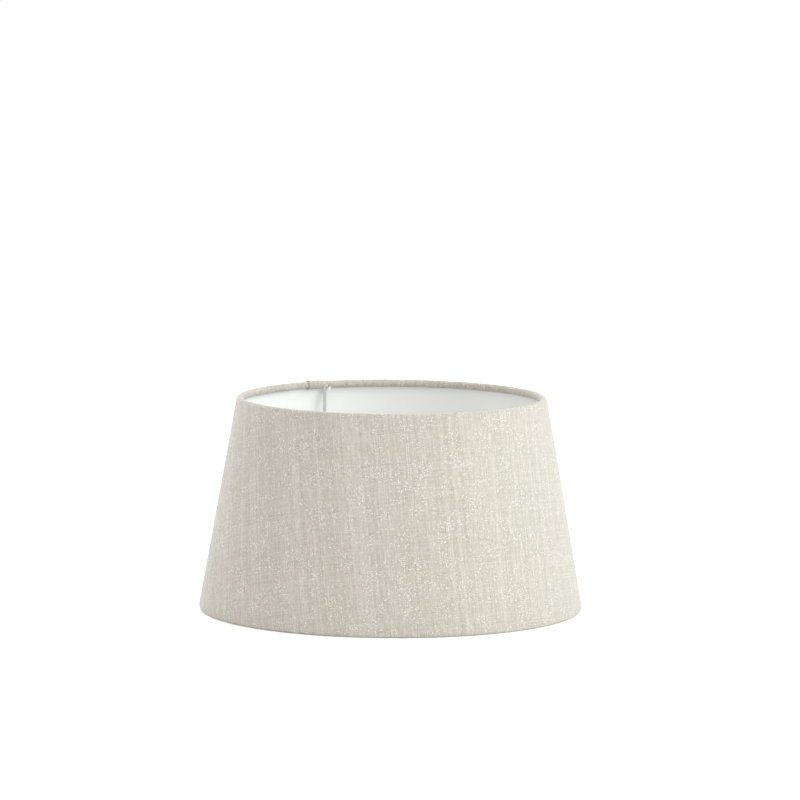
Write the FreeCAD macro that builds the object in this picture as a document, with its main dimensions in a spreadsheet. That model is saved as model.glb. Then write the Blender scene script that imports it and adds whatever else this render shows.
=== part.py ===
import FreeCAD, Part
import math
import os

import Sketcher

# Tapered round lamp shade with rolled edges, in millimetres and degrees.
# It stands on its wide end: origin in the middle of the foot, +Z up, front at -Y.
# Angles round the shade are counted from +X towards +Y.

SIZES = [
    # Overall shape
    ("bottom_radius", 150.0, "outside of the bottom rolled edge"),
    ("top_radius", 121.5, "outside of the top rolled edge"),
    ("shade_height", 167.0, "foot to the top of the top rolled edge"),
    # Covering, lining and the wires that they are rolled over
    ("cover_thickness", 0.6, "linen cover"),
    ("lining_thickness", 0.3, "plastic lining bonded to the cover"),
    ("seam_tape_thickness", 0.1, "double-sided tape in the lapped seam"),
    ("ring_wire_radius", 1.9, "wire of the top and bottom rings"),
    ("ring_tape_thickness", 0.35, "tape wrapped round each ring wire"),
    ("hem_clearance", 0.15, "from the tucked end of a hem to the lining"),
    ("lining_clearance", 0.1, "from the end of the lining to the ring tape"),
    ("foot_clearance", 0.1, "how far the end of the flap stays above the foot"),
    # Lapped seam
    ("seam_angle", 124.9, "free edge of the outer flap"),
    ("lap_angle", 5.4, "flap over the wall's other end"),
    ("lap_gap_angle", 0.15, "from the wall's end to the step in the lining"),
    ("lining_step_angle", 0.4, "step of the lining out to the flap"),
    ("cover_step_angle", 0.5, "step of the cover out to the flap"),
    ("seam_tape_margin_angle", 0.25, "bare edge beside the seam tape"),
    ("seam_tape_end_margin", 4.0, "bare wall above and below the seam tape"),
    # Spider fitter: three arms and the ring that sits on the lamp holder
    ("arm_angle", 117.2, "direction of the first arm"),
    ("arm_wire_radius", 1.4, "wire of the arms"),
    ("arm_inset", 0.5, "arm inside the middle of the top ring wire"),
    ("arm_top_drop", 0.8, "top of an arm below the middle of the ring wire"),
    ("arm_bend_radius", 8.0, "bend from the drop to the level run"),
    ("arm_flat_depth", 0.3, "arm end flattened for the weld to the hub ring"),
    ("arm_flat_clearance", 0.2, "flat of an arm past the hub ring's rim"),
    ("slit_clearance", 0.3, "each side of an arm where it leaves the hem"),
    ("hub_drop", 30.0, "underside of the hub ring below the top ring wire"),
    ("hub_bore_radius", 21.0, "bore for an E27 lamp holder"),
    ("hub_outer_radius", 27.0, "rim of the hub ring"),
    ("hub_thickness", 2.0, "hub ring plate"),
    ("hub_edge_round", 0.4, "rounding of the hub ring's rim"),
]
ARM_COUNT = 3

doc = FreeCAD.newDocument("LampShade")
sheet = doc.addObject("Spreadsheet::Sheet", "Sizes")
for row, (alias, size, note) in enumerate(SIZES, start=1):
    sheet.set(f"A{row}", alias)
    sheet.set(f"B{row}", str(size))
    sheet.set(f"C{row}", note)
    sheet.setAlias(f"B{row}", alias)
doc.recompute()

# Sizes that follow from the driving ones.
ROLL_INNER = "(Sizes.ring_wire_radius + Sizes.ring_tape_thickness)"
ROLL_OUTER = f"({ROLL_INNER} + Sizes.cover_thickness)"
LAP_OFFSET = "(Sizes.cover_thickness + Sizes.seam_tape_thickness + Sizes.lining_thickness)"
TOP_R = f"(Sizes.top_radius - {ROLL_OUTER})"
TOP_Z = f"(Sizes.shade_height - {ROLL_OUTER})"
BOTTOM_R = f"(Sizes.bottom_radius - {ROLL_OUTER})"
BOTTOM_Z = ROLL_OUTER
SLOPE = f"atan(({BOTTOM_R} - {TOP_R}) / ({TOP_Z} - {BOTTOM_Z}))"
LINING_INNER = f"({ROLL_INNER} - Sizes.lining_thickness)"
LINING_END = f"(sqrt({ROLL_INNER}^2 - {LINING_INNER}^2) + Sizes.lining_clearance)"
FLAP_INNER = f"({ROLL_INNER} + {LAP_OFFSET})"
FLAP_OUTER = f"({ROLL_OUTER} + {LAP_OFFSET})"
TUCKED_END = "(Sizes.seam_angle - Sizes.lap_angle)"
LINING_FLAP_START = f"({TUCKED_END} - Sizes.lap_gap_angle)"
LINING_STEP_START = f"({LINING_FLAP_START} - Sizes.lining_step_angle)"
COVER_WALL_END = f"({LINING_STEP_START} - Sizes.cover_step_angle / 2)"
HUB_UNDER_Z = f"({TOP_Z} - Sizes.hub_drop)"
ARM_R = f"({TOP_R} - Sizes.arm_inset)"
ARM_TOP_Z = f"({TOP_Z} - Sizes.arm_top_drop)"
ARM_LEVEL_Z = f"({HUB_UNDER_Z} + Sizes.arm_flat_depth - Sizes.arm_wire_radius)"
SLIT_HALF = "(Sizes.arm_wire_radius + Sizes.slit_clearance)"


def value(expression):
    """Number that an expression in the sheet's names stands for."""
    result = sheet.evalExpression(expression)
    return float(getattr(result, "Value", result))


def new_body(label):
    body = doc.addObject("PartDesign::Body", label)
    body.Label = label
    return body


def origin_plane(body, role):
    return next(item for item in body.Origin.OriginFeatures if item.Role == role)


def new_sketch(body, name, role="XZ_Plane", turned="0", raised="0"):
    """Sketch on an origin plane: turned about +Z, or raised along +Z when the plane is level."""
    sketch = body.newObject("Sketcher::SketchObject", f"{body.Name}_{name}")
    sketch.AttachmentSupport = [(origin_plane(body, role), "")]
    sketch.MapMode = "FlatFace"
    up = FreeCAD.Vector(0, 0, 1) if role == "XY_Plane" else FreeCAD.Vector(0, 1, 0)
    sketch.AttachmentOffset = FreeCAD.Placement(up * value(raised), FreeCAD.Rotation(up, value(turned)))
    if turned != "0":
        sketch.setExpression("AttachmentOffset.Rotation.Angle", turned)
    if raised != "0":
        sketch.setExpression("AttachmentOffset.Base.z", raised)
    return sketch


def constrain(sketch, kind, *args, size=None):
    """Add a constraint; a size is an expression that the constraint stays bound to."""
    if size is None:
        return sketch.addConstraint(Sketcher.Constraint(kind, *args))
    number = math.radians(value(size)) if kind == "Angle" else value(size)
    index = sketch.addConstraint(Sketcher.Constraint(kind, *args, number))
    sketch.setExpression(f"Constraints[{index}]", size)
    return index


def fix_point(sketch, geometry, end, right, up):
    constrain(sketch, "DistanceX", -1, 1, geometry, end, size=right)
    constrain(sketch, "DistanceY", -1, 1, geometry, end, size=up)


def add_circle(sketch, right, up, radius):
    centre = FreeCAD.Vector(value(right), value(up), 0)
    circle = sketch.addGeometry(Part.Circle(centre, FreeCAD.Vector(0, 0, 1), value(radius)))
    if right == "0" and up == "0":
        constrain(sketch, "Coincident", circle, 3, -1, 1)
    else:
        fix_point(sketch, circle, 3, right, up)
    constrain(sketch, "Radius", circle, size=radius)


def add_box(sketch, left, right, low, high):
    """Rectangle with its sides bound to four expressions."""
    corners = [(left, low), (right, low), (right, high), (left, high)]
    points = [FreeCAD.Vector(value(x), value(y), 0) for x, y in corners]
    lines = [sketch.addGeometry(Part.LineSegment(points[i], points[(i + 1) % 4])) for i in range(4)]
    for i in range(4):
        constrain(sketch, "Coincident", lines[i], 2, lines[(i + 1) % 4], 1)
        constrain(sketch, "Vertical" if i % 2 else "Horizontal", lines[i])
    fix_point(sketch, lines[0], 1, left, low)
    fix_point(sketch, lines[2], 1, right, high)


def revolve(body, sketch, name, sweep="360", cut=False, clockwise=False):
    kind = "PartDesign::Groove" if cut else "PartDesign::Revolution"
    feature = body.newObject(kind, f"{body.Name}_{name}")
    feature.Profile = sketch
    feature.ReferenceAxis = (sketch, ["V_Axis"])
    feature.Angle = value(sweep)
    feature.Reversed = clockwise
    if sweep != "360":
        feature.setExpression("Angle", sweep)
    doc.recompute()
    return feature


def direction(degrees):
    return FreeCAD.Vector(math.cos(math.radians(degrees)), math.sin(math.radians(degrees)), 0)


def rolled_profile(sketch, inner, outer, foot_end):
    """Section through the wall with both edges rolled round the ring wires.

    inner and outer are the roll's two radii, which are also the wall's distances from the
    line between the ring wires. The top roll ends at the lining and foot_end is the angle
    at which the bottom roll ends.
    """
    top_end = f"({SLOPE} - acos(({LINING_INNER} - Sizes.hem_clearance) / {outer}))"
    slope = value(SLOPE)
    foot_from = value(foot_end) if value(foot_end) < 0 else value(foot_end) - 360
    ends = {
        "top": (TOP_R, TOP_Z, slope, value(top_end) + 360),
        "foot": (BOTTOM_R, BOTTOM_Z, foot_from, slope),
    }
    arcs = {}
    for place, (ring_r, ring_z, start, stop) in ends.items():
        centre = FreeCAD.Vector(value(ring_r), value(ring_z), 0)
        for side, radius in (("outer", outer), ("inner", inner)):
            circle = Part.Circle(centre, FreeCAD.Vector(0, 0, 1), value(radius))
            arc = Part.ArcOfCircle(circle, math.radians(start), math.radians(stop))
            arcs[place, side] = sketch.addGeometry(arc)
            constrain(sketch, "Radius", arcs[place, side], size=radius)
        fix_point(sketch, arcs[place, "outer"], 3, ring_r, ring_z)
        constrain(sketch, "Coincident", arcs[place, "inner"], 3, arcs[place, "outer"], 3)
        free, free_angle = (2, stop) if place == "top" else (1, start)
        tip = direction(free_angle)
        cap = sketch.addGeometry(Part.LineSegment(centre + tip * value(inner), centre + tip * value(outer)))
        constrain(sketch, "Coincident", cap, 1, arcs[place, "inner"], free)
        constrain(sketch, "Coincident", cap, 2, arcs[place, "outer"], free)
        constrain(sketch, "PointOnObject", arcs[place, "outer"], 3, cap)
        constrain(sketch, "Angle", cap, size=top_end if place == "top" else foot_end)
    for side, radius in (("outer", outer), ("inner", inner)):
        out = direction(slope) * value(radius)
        low = FreeCAD.Vector(value(BOTTOM_R), value(BOTTOM_Z), 0) + out
        high = FreeCAD.Vector(value(TOP_R), value(TOP_Z), 0) + out
        wall = sketch.addGeometry(Part.LineSegment(low, high))
        constrain(sketch, "Tangent", arcs["foot", side], 2, wall, 1)
        constrain(sketch, "Tangent", wall, 2, arcs["top", side], 1)


def flat_profile(sketch, inner, outer, margin):
    """Straight strip of the wall between two distances from the line of the ring wires."""
    slope = value(SLOPE)
    out = direction(slope)
    along = direction(slope + 90)
    low = FreeCAD.Vector(value(BOTTOM_R), value(BOTTOM_Z), 0)
    high = FreeCAD.Vector(value(TOP_R), value(TOP_Z), 0)
    spine = sketch.addGeometry(Part.LineSegment(low, high), True)
    fix_point(sketch, spine, 1, BOTTOM_R, BOTTOM_Z)
    fix_point(sketch, spine, 2, TOP_R, TOP_Z)
    corners = [
        low + out * value(inner) + along * value(margin),
        low + out * value(outer) + along * value(margin),
        high + out * value(outer) - along * value(margin),
        high + out * value(inner) - along * value(margin),
    ]
    lines = [sketch.addGeometry(Part.LineSegment(corners[i], corners[(i + 1) % 4])) for i in range(4)]
    for i in range(4):
        constrain(sketch, "Coincident", lines[i], 2, lines[(i + 1) % 4], 1)
        constrain(sketch, "Parallel" if i % 2 else "Perpendicular", lines[i], spine)
    constrain(sketch, "Distance", lines[3], 1, spine, size=inner)
    constrain(sketch, "Distance", lines[1], 1, spine, size=outer)
    constrain(sketch, "Distance", spine, 1, lines[0], size=margin)
    constrain(sketch, "Distance", spine, 2, lines[2], size=margin)


def cut_arm_slits(body, inner, outer):
    """Slits under the top ring wire, one for each arm, up to the middle of the wire."""
    floor = f"({TOP_Z} - {ROLL_OUTER} - Sizes.slit_clearance)"
    sketch = new_sketch(body, "SlitSketch", "XY_Plane", "Sizes.arm_angle", floor)
    add_box(sketch, inner, outer, f"(-{SLIT_HALF})", SLIT_HALF)
    before = body.Shape.Volume
    slit = body.newObject("PartDesign::Pocket", f"{body.Name}_Slit")
    slit.Profile = sketch
    slit.Reversed = True
    slit.setExpression("Length", f"{TOP_Z} - {floor}")
    doc.recompute()
    pattern = body.newObject("PartDesign::PolarPattern", f"{body.Name}_Slits")
    pattern.Originals = [slit]
    pattern.Axis = (sketch, ["N_Axis"])
    pattern.Angle = 360
    pattern.Occurrences = ARM_COUNT
    body.Tip = pattern
    doc.recompute()
    if not body.Shape.Volume < before:
        raise RuntimeError(f"{body.Label}: the arm slits cut nothing")


def make_cover():
    """Linen cover: one wall rolled at both edges, stepped out to a flap that laps its other end."""
    body = new_body("fabric_cover")
    foot_tucked = f"({SLOPE} + acos(({LINING_INNER} - Sizes.hem_clearance) / {ROLL_OUTER}))"
    foot_trimmed = f"(-asin(({ROLL_OUTER} - Sizes.foot_clearance) / {FLAP_OUTER}))"
    wall = new_sketch(body, "WallSketch", turned=COVER_WALL_END)
    rolled_profile(wall, ROLL_INNER, ROLL_OUTER, foot_tucked)
    revolve(body, wall, "Wall", f"{COVER_WALL_END} - {TUCKED_END} + 360", clockwise=True)
    step = new_sketch(body, "StepSketch", turned=LINING_STEP_START)
    rolled_profile(step, f"({ROLL_INNER} + Sizes.cover_thickness / 2)", FLAP_OUTER, foot_trimmed)
    revolve(body, step, "Step", "Sizes.cover_step_angle", clockwise=True)
    flap = new_sketch(body, "FlapSketch", turned="Sizes.seam_angle")
    rolled_profile(flap, FLAP_INNER, FLAP_OUTER, foot_trimmed)
    revolve(body, flap, "Flap", f"Sizes.seam_angle - {LINING_STEP_START}", clockwise=True)
    cut_arm_slits(body, f"({TOP_R} - {FLAP_OUTER})", f"({TOP_R} + {ROLL_INNER})")
    return body


def make_lining():
    """White lining bonded to the cover's inside, with the same step and lap."""
    body = new_body("liner")
    wall = new_sketch(body, "WallSketch", turned=TUCKED_END)
    flat_profile(wall, LINING_INNER, ROLL_INNER, LINING_END)
    revolve(body, wall, "Wall", "360 - Sizes.lap_gap_angle")
    step = new_sketch(body, "StepSketch", turned=LINING_STEP_START)
    flat_profile(step, LINING_INNER, FLAP_INNER, LINING_END)
    revolve(body, step, "Step", "Sizes.lining_step_angle")
    flap = new_sketch(body, "FlapSketch", turned=LINING_FLAP_START)
    flat_profile(flap, f"({FLAP_INNER} - Sizes.lining_thickness)", FLAP_INNER, LINING_END)
    revolve(body, flap, "Flap", f"Sizes.seam_angle - {LINING_FLAP_START}")
    return body


def make_seam_tape():
    """Double-sided tape between the wall's end and the flap."""
    body = new_body("seam_tape")
    start = f"{TUCKED_END} + Sizes.seam_tape_margin_angle"
    tape_outer = f"({ROLL_OUTER} + Sizes.seam_tape_thickness)"
    sketch = new_sketch(body, "Sketch", turned=start)
    flat_profile(sketch, ROLL_OUTER, tape_outer, "Sizes.seam_tape_end_margin")
    revolve(body, sketch, "Strip", "Sizes.lap_angle - 2 * Sizes.seam_tape_margin_angle")
    return body


def make_ring(label, radius, height):
    """Wire ring, butt-welded into a hoop."""
    ring = doc.addObject("Part::Torus", label)
    ring.Label = label
    ring.setExpression("Radius1", radius)
    ring.setExpression("Radius2", "Sizes.ring_wire_radius")
    ring.setExpression("Placement.Base.z", height)
    return ring


def make_ring_tape(label, radius, height):
    """Tape wrapped round a ring wire, which the hem sticks to."""
    body = new_body(label)
    sketch = new_sketch(body, "Sketch")
    add_circle(sketch, radius, height, ROLL_INNER)
    add_circle(sketch, radius, height, "Sizes.ring_wire_radius")
    revolve(body, sketch, "Wrap")
    return body


def make_hub_ring():
    """Flat ring that the lamp holder's collar clamps."""
    body = new_body("hub_ring")
    sketch = new_sketch(body, "Sketch", "XY_Plane", raised=HUB_UNDER_Z)
    add_circle(sketch, "0", "0", "Sizes.hub_outer_radius")
    add_circle(sketch, "0", "0", "Sizes.hub_bore_radius")
    plate = body.newObject("PartDesign::Pad", "hub_ring_Plate")
    plate.Profile = sketch
    plate.setExpression("Length", "Sizes.hub_thickness")
    doc.recompute()
    rim = value("Sizes.hub_outer_radius")
    edges = [
        f"Edge{number}"
        for number, edge in enumerate(plate.Shape.Edges, start=1)
        if isinstance(edge.Curve, Part.Circle) and math.isclose(edge.Curve.Radius, rim)
    ]
    rounding = body.newObject("PartDesign::Fillet", "hub_ring_Rim")
    rounding.Base = (plate, edges)
    rounding.setExpression("Radius", "Sizes.hub_edge_round")
    doc.recompute()
    return body


def make_arm(number):
    """Wire arm: down from the top ring, round a bend and level to the hub ring's underside."""
    body = new_body(f"arm_{number + 1}")
    path = new_sketch(body, "PathSketch")
    radius = value("Sizes.arm_bend_radius")
    arm_r = value(ARM_R)
    level = value(ARM_LEVEL_Z)
    inner_end = "((Sizes.hub_bore_radius + Sizes.hub_outer_radius) / 2)"
    top = FreeCAD.Vector(arm_r, value(ARM_TOP_Z), 0)
    bend_top = FreeCAD.Vector(arm_r, level + radius, 0)
    bend_end = FreeCAD.Vector(arm_r - radius, level, 0)
    drop = path.addGeometry(Part.LineSegment(top, bend_top))
    centre = FreeCAD.Vector(arm_r - radius, level + radius, 0)
    circle = Part.Circle(centre, FreeCAD.Vector(0, 0, 1), radius)
    bend = path.addGeometry(Part.ArcOfCircle(circle, math.radians(-90), 0))
    run = path.addGeometry(Part.LineSegment(bend_end, FreeCAD.Vector(value(inner_end), level, 0)))
    constrain(path, "Tangent", drop, 2, bend, 2)
    constrain(path, "Tangent", bend, 1, run, 1)
    constrain(path, "Vertical", drop)
    constrain(path, "Horizontal", run)
    fix_point(path, drop, 1, ARM_R, ARM_TOP_Z)
    fix_point(path, run, 2, inner_end, ARM_LEVEL_Z)
    constrain(path, "Radius", bend, size="Sizes.arm_bend_radius")
    section = new_sketch(body, "WireSketch", "XY_Plane", raised=ARM_TOP_Z)
    wire_radius = value("Sizes.arm_wire_radius")
    round_wire = Part.Circle(FreeCAD.Vector(arm_r, 0, 0), FreeCAD.Vector(0, 0, 1), wire_radius)
    wire = section.addGeometry(round_wire)
    constrain(section, "PointOnObject", wire, 3, -1)
    constrain(section, "DistanceX", -1, 1, wire, 3, size=ARM_R)
    constrain(section, "Radius", wire, size="Sizes.arm_wire_radius")
    sweep = body.newObject("PartDesign::AdditivePipe", f"{body.Name}_Wire")
    sweep.Profile = section
    sweep.Spine = (path, [])
    doc.recompute()
    before = body.Shape.Volume
    seat = new_sketch(body, "RingSeatSketch")
    add_circle(seat, TOP_R, TOP_Z, "Sizes.ring_wire_radius")
    revolve(body, seat, "RingSeat", cut=True)
    coped = body.Shape.Volume
    flat = new_sketch(body, "HubSeatSketch", "XY_Plane", raised=HUB_UNDER_Z)
    reach = "(Sizes.hub_outer_radius + Sizes.arm_flat_clearance)"
    add_box(flat, "(Sizes.hub_bore_radius)", reach, "(-Sizes.arm_wire_radius)", "Sizes.arm_wire_radius")
    seat_cut = body.newObject("PartDesign::Pocket", f"{body.Name}_HubSeat")
    seat_cut.Profile = flat
    seat_cut.Reversed = True
    seat_cut.setExpression("Length", "Sizes.arm_wire_radius")
    doc.recompute()
    if not body.Shape.Volume < coped < before:
        raise RuntimeError(f"{body.Label}: a weld seat cut nothing")
    body.Placement = FreeCAD.Placement(FreeCAD.Vector(), FreeCAD.Rotation(FreeCAD.Vector(0, 0, 1), 1))
    body.setExpression("Placement.Rotation.Angle", f"Sizes.arm_angle + {number} * 360 / {ARM_COUNT}")
    return body


top_tape = make_ring_tape("top_ring_tape", TOP_R, TOP_Z)
cut_arm_slits(top_tape, f"({TOP_R} - {ROLL_OUTER})", f"({TOP_R} + {ROLL_OUTER})")
pieces = [
    make_cover(),
    make_lining(),
    make_seam_tape(),
    make_ring("top_ring", TOP_R, TOP_Z),
    make_ring("bottom_ring", BOTTOM_R, BOTTOM_Z),
    top_tape,
    make_ring_tape("bottom_ring_tape", BOTTOM_R, BOTTOM_Z),
    make_hub_ring(),
] + [make_arm(number) for number in range(ARM_COUNT)]
doc.recompute()

for item in doc.Objects:
    if {"Invalid", "Error"} & set(item.State):
        raise RuntimeError(f"{item.Label}: {item.State}")
for piece in pieces:
    shape = piece.Shape
    if shape.isNull() or not shape.isValid() or len(shape.Solids) != 1:
        raise RuntimeError(f"{piece.Label}: not one sound solid")

os.makedirs("parts", exist_ok=True)
for piece in pieces:
    piece.Shape.exportStep(f"parts/{piece.Label}.step")
    box = piece.Shape.BoundBox
    print(f"{piece.Label}: {piece.Shape.Volume:.1f} mm3, z {box.ZMin:.2f} to {box.ZMax:.2f}")
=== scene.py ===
"""Rolled-edge linen lamp shade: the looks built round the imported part, laid out as an add-on."""
import math

import bmesh
import bpy
import numpy as np
from bpy.props import FloatProperty, FloatVectorProperty, IntProperty, PointerProperty
from mathutils import Matrix, Vector, noise


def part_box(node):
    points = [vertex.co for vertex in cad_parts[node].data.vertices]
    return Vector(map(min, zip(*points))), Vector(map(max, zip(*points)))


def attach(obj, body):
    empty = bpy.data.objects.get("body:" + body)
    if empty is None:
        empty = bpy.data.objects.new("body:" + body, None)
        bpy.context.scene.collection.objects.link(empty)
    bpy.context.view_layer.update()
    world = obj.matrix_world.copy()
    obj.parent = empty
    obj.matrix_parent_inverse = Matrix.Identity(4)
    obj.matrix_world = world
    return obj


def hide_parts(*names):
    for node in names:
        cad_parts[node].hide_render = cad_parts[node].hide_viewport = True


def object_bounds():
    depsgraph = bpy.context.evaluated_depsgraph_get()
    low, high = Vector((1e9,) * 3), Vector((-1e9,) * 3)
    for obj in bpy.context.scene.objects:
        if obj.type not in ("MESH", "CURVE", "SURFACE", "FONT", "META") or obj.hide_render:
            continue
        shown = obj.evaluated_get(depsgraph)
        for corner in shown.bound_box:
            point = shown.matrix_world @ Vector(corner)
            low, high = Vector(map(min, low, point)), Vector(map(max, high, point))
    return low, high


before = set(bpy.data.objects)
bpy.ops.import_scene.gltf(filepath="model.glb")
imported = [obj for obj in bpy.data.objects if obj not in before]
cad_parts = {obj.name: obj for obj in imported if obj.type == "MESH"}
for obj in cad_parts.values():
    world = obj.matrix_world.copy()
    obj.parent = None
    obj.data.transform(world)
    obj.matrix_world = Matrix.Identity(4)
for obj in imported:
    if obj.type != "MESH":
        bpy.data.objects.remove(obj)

bl_info = {
    "name": "Rolled-edge lamp shade",
    "version": (1, 0, 0),
    "blender": (4, 5, 0),
    "location": "View3D > Sidebar > Lamp Shade",
    "description": "Builds the cloth, lining, fitter finish and studio for a lamp shade",
    "category": "Object",
}

CAD_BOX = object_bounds()
MM = 0.001
LAP_PRESSED = 0.72  # how much of the lap's full thickness stands up where the roll presses it
LINING_GAP = math.radians(0.02)  # left between the lining's tucked end and its step
LINING_STEPS = 288
LAP_STEPS = 6
FOOT_ROWS, WALL_ROWS, TOP_ROWS = 21, 30, 30  # rows of the cloth on each part of its section
SLIT_FOOT = 2.75  # angle round the top roll at which the arm slits start
TAPE_TURNS = 60
TAPE_OVERLAP = 0.3  # share of a turn that lies on the turn before
TAPE_INSET = 0.11 * MM  # from the part's tape to the single layer
TAPE_STEP = 0.09 * MM  # how far the overlap stands up
TAPE_WALL = 0.2 * MM
HUB_BEAD = (3.2 * MM, 2.3 * MM, 1.3 * MM)
RING_BEAD = (1.2 * MM, 1.7 * MM, 0.8 * MM)
THREAD_RADIUS = 0.21 * MM
FLOOR_RADIUS = 90.0
KEY_PLACE = (2.5, -0.9, 1.7)
KEY_SIZE = 2.8
RIM_PLACE = (-0.9, 1.95, 2.1)
RIM_SIZE = 2.0
LIGHT_COLOUR = (0.90, 1.0, 1.0)
SURROUND_COLOUR = (1.0, 0.98, 0.97, 1.0)


# ---------------------------------------------------------------- sizes and colours

class ShadeSizes(bpy.types.PropertyGroup):
    """Sizes of the sheet goods, which are laid on the wires of the frame."""

    cover_thickness: FloatProperty(
        name="Cover thickness", description="Thickness of the linen", default=0.6 * MM,
        unit="LENGTH", precision=5,
    )
    lining_thickness: FloatProperty(
        name="Lining thickness", description="Thickness of the plastic lining", default=0.3 * MM,
        unit="LENGTH", precision=5,
    )
    seam_tape_thickness: FloatProperty(
        name="Seam tape thickness", description="Tape between the two ends of the wall", default=0.1 * MM,
        unit="LENGTH", precision=5,
    )
    seam_angle: FloatProperty(
        name="Seam direction", description="Where the free edge of the flap lies, from +X",
        default=math.radians(124.9), subtype="ANGLE",
    )
    lap_angle: FloatProperty(
        name="Lap", description="How far the flap laps the other end", default=math.radians(5.4),
        subtype="ANGLE",
    )
    first_arm_angle: FloatProperty(
        name="First arm", description="Direction of the first arm, from +X", default=math.radians(117.2),
        subtype="ANGLE",
    )
    arm_count: IntProperty(name="Arms", description="Number of arms", default=3, min=1)
    slit_width: FloatProperty(
        name="Arm slit", description="Width of the cut in the top hem at each arm", default=3.5 * MM,
        unit="LENGTH", precision=5,
    )
    hem_ripple: FloatProperty(
        name="Hem ripple", description="Unevenness of the rolled edges", default=0.09 * MM, unit="LENGTH",
        precision=5,
    )
    hem_slack: FloatProperty(
        name="Hem slack", description="How far the underside of the top hem hangs off its wire",
        default=0.4 * MM, unit="LENGTH", precision=5,
    )
    wall_ripple: FloatProperty(
        name="Wall ripple", description="Unevenness of the wall", default=0.14 * MM, unit="LENGTH",
        precision=5,
    )


class ShadeFinishes(bpy.types.PropertyGroup):
    """Colours of the finishes and scale of the weave."""

    thread_light: FloatVectorProperty(
        name="Light thread", description="Palest linen thread", default=(0.625, 0.587, 0.532), subtype="COLOR"
    )
    thread_dark: FloatVectorProperty(
        name="Dark thread", description="Darkest linen thread", default=(0.399, 0.363, 0.318), subtype="COLOR"
    )
    # painted shade: a dark colour laid in the dips between threads and in the pinholes, standing in for the
    # shade there
    gap_shade_colour: FloatVectorProperty(
        name="Gap", description="Shaded gap between threads", default=(0.33, 0.305, 0.262), subtype="COLOR"
    )
    nub_colour: FloatVectorProperty(
        name="Nub", description="Pale knot in the yarn", default=(0.77, 0.75, 0.69), subtype="COLOR"
    )
    thread_spacing: FloatProperty(
        name="Thread spacing", description="From one thread to the next", default=0.8 * MM, unit="LENGTH",
        precision=5,
    )
    lining_colour: FloatVectorProperty(
        name="Lining", description="White of the lining", default=(0.89, 0.89, 0.88), subtype="COLOR"
    )
    wire_colour: FloatVectorProperty(
        name="Wire", description="Zinc of the fitter", default=(0.66, 0.655, 0.64), subtype="COLOR"
    )
    tape_colour: FloatVectorProperty(
        name="Tape", description="White of the tapes", default=(0.90, 0.90, 0.87), subtype="COLOR"
    )


class StudioSettings(bpy.types.PropertyGroup):
    """Camera and lights of the studio."""

    lens: FloatProperty(name="Lens", description="Focal length in millimetres", default=225.0)
    distance: FloatProperty(
        name="Distance", description="Camera to the middle of the shade", default=3.916, unit="LENGTH"
    )
    elevation: FloatProperty(
        name="Elevation", description="Camera above the level of the shade", default=math.radians(7.787),
        subtype="ANGLE",
    )
    tilt: FloatProperty(
        name="Tilt", description="View raised from the middle of the shade", default=math.radians(1.170),
        subtype="ANGLE",
    )
    pan: FloatProperty(
        name="Pan", description="View turned to the right", default=math.radians(0.093), subtype="ANGLE"
    )
    roll: FloatProperty(
        name="Roll", description="Camera rolled about its view", default=math.radians(0.390), subtype="ANGLE"
    )
    sky: FloatProperty(name="Surround light", description="Strength of the even light", default=1.0)
    floor_glow: FloatProperty(
        name="Floor glow", description="Light from the floor's light table", default=0.1
    )
    key: FloatProperty(name="Key light", description="Power of the large light on the right", default=61.0)
    rim: FloatProperty(name="Rim light", description="Power of the light behind and above", default=36.0)


# ---------------------------------------------------------------- measures from the frame

def ring_measures(node):
    """Radius and height of a ring wire's middle, and the wire's own radius."""
    low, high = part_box(node)
    wire = (high.z - low.z) / 2
    return (high.x - low.x) / 2 - wire, (high.z + low.z) / 2, wire


class Wall:
    """Lines of the wall's section, in the plane of one direction round the shade."""

    def __init__(self, sizes):
        self.bottom_r, self.bottom_z, _ = ring_measures("bottom_ring")
        self.top_r, self.top_z, _ = ring_measures("top_ring")
        tape_low, tape_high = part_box("bottom_ring_tape")
        self.roll_inner = (tape_high.z - tape_low.z) / 2
        self.roll_middle = self.roll_inner + sizes.cover_thickness / 2
        self.slope = math.atan2(self.bottom_r - self.top_r, self.top_z - self.bottom_z)
        self.slant = math.hypot(self.bottom_r - self.top_r, self.top_z - self.bottom_z)
        self.lap_offset = sizes.cover_thickness + sizes.seam_tape_thickness + sizes.lining_thickness
        lining_inner = self.roll_inner - sizes.lining_thickness
        tuck = (lining_inner - 0.3 * MM) / (self.roll_inner + sizes.cover_thickness)
        self.tuck_angle = 2 * math.pi - math.acos(tuck)
        self.apex_distance = self.bottom_r / math.sin(self.slope)

    def place(self, ring, out, along):
        """Radius and height of a point out from, and up along, the wall from a ring wire's middle."""
        r, z = (self.bottom_r, self.bottom_z) if ring == "bottom" else (self.top_r, self.top_z)
        sin, cos = math.sin(self.slope), math.cos(self.slope)
        return r + out * cos - along * sin, z + out * sin + along * cos


# ---------------------------------------------------------------- node helpers

def add_node(tree, kind, **settings):
    node = tree.nodes.new(kind)
    for name, setting in settings.items():
        setattr(node, name, setting)
    return node


def feed(tree, node, **sockets):
    """Link or set a node's inputs by name; an underscore stands for a blank."""
    for name, source in sockets.items():
        target = node.inputs[int(name[1:])] if name[1:].isdigit() else node.inputs[name.replace("_", " ")]
        if isinstance(source, bpy.types.NodeSocket):
            tree.links.new(source, target)
        else:
            target.default_value = source
    return node


def calc(tree, operation, *values, clamp=False):
    node = add_node(tree, "ShaderNodeMath", operation=operation, use_clamp=clamp)
    feed(tree, node, **{f"_{i}": v for i, v in enumerate(values)})
    return node.outputs[0]


def blend_colour(tree, factor, first, second, mode="MIX"):
    node = add_node(tree, "ShaderNodeMix", data_type="RGBA", blend_type=mode)
    feed(tree, node, _0=factor, _6=first, _7=second)
    return node.outputs[2]


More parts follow.
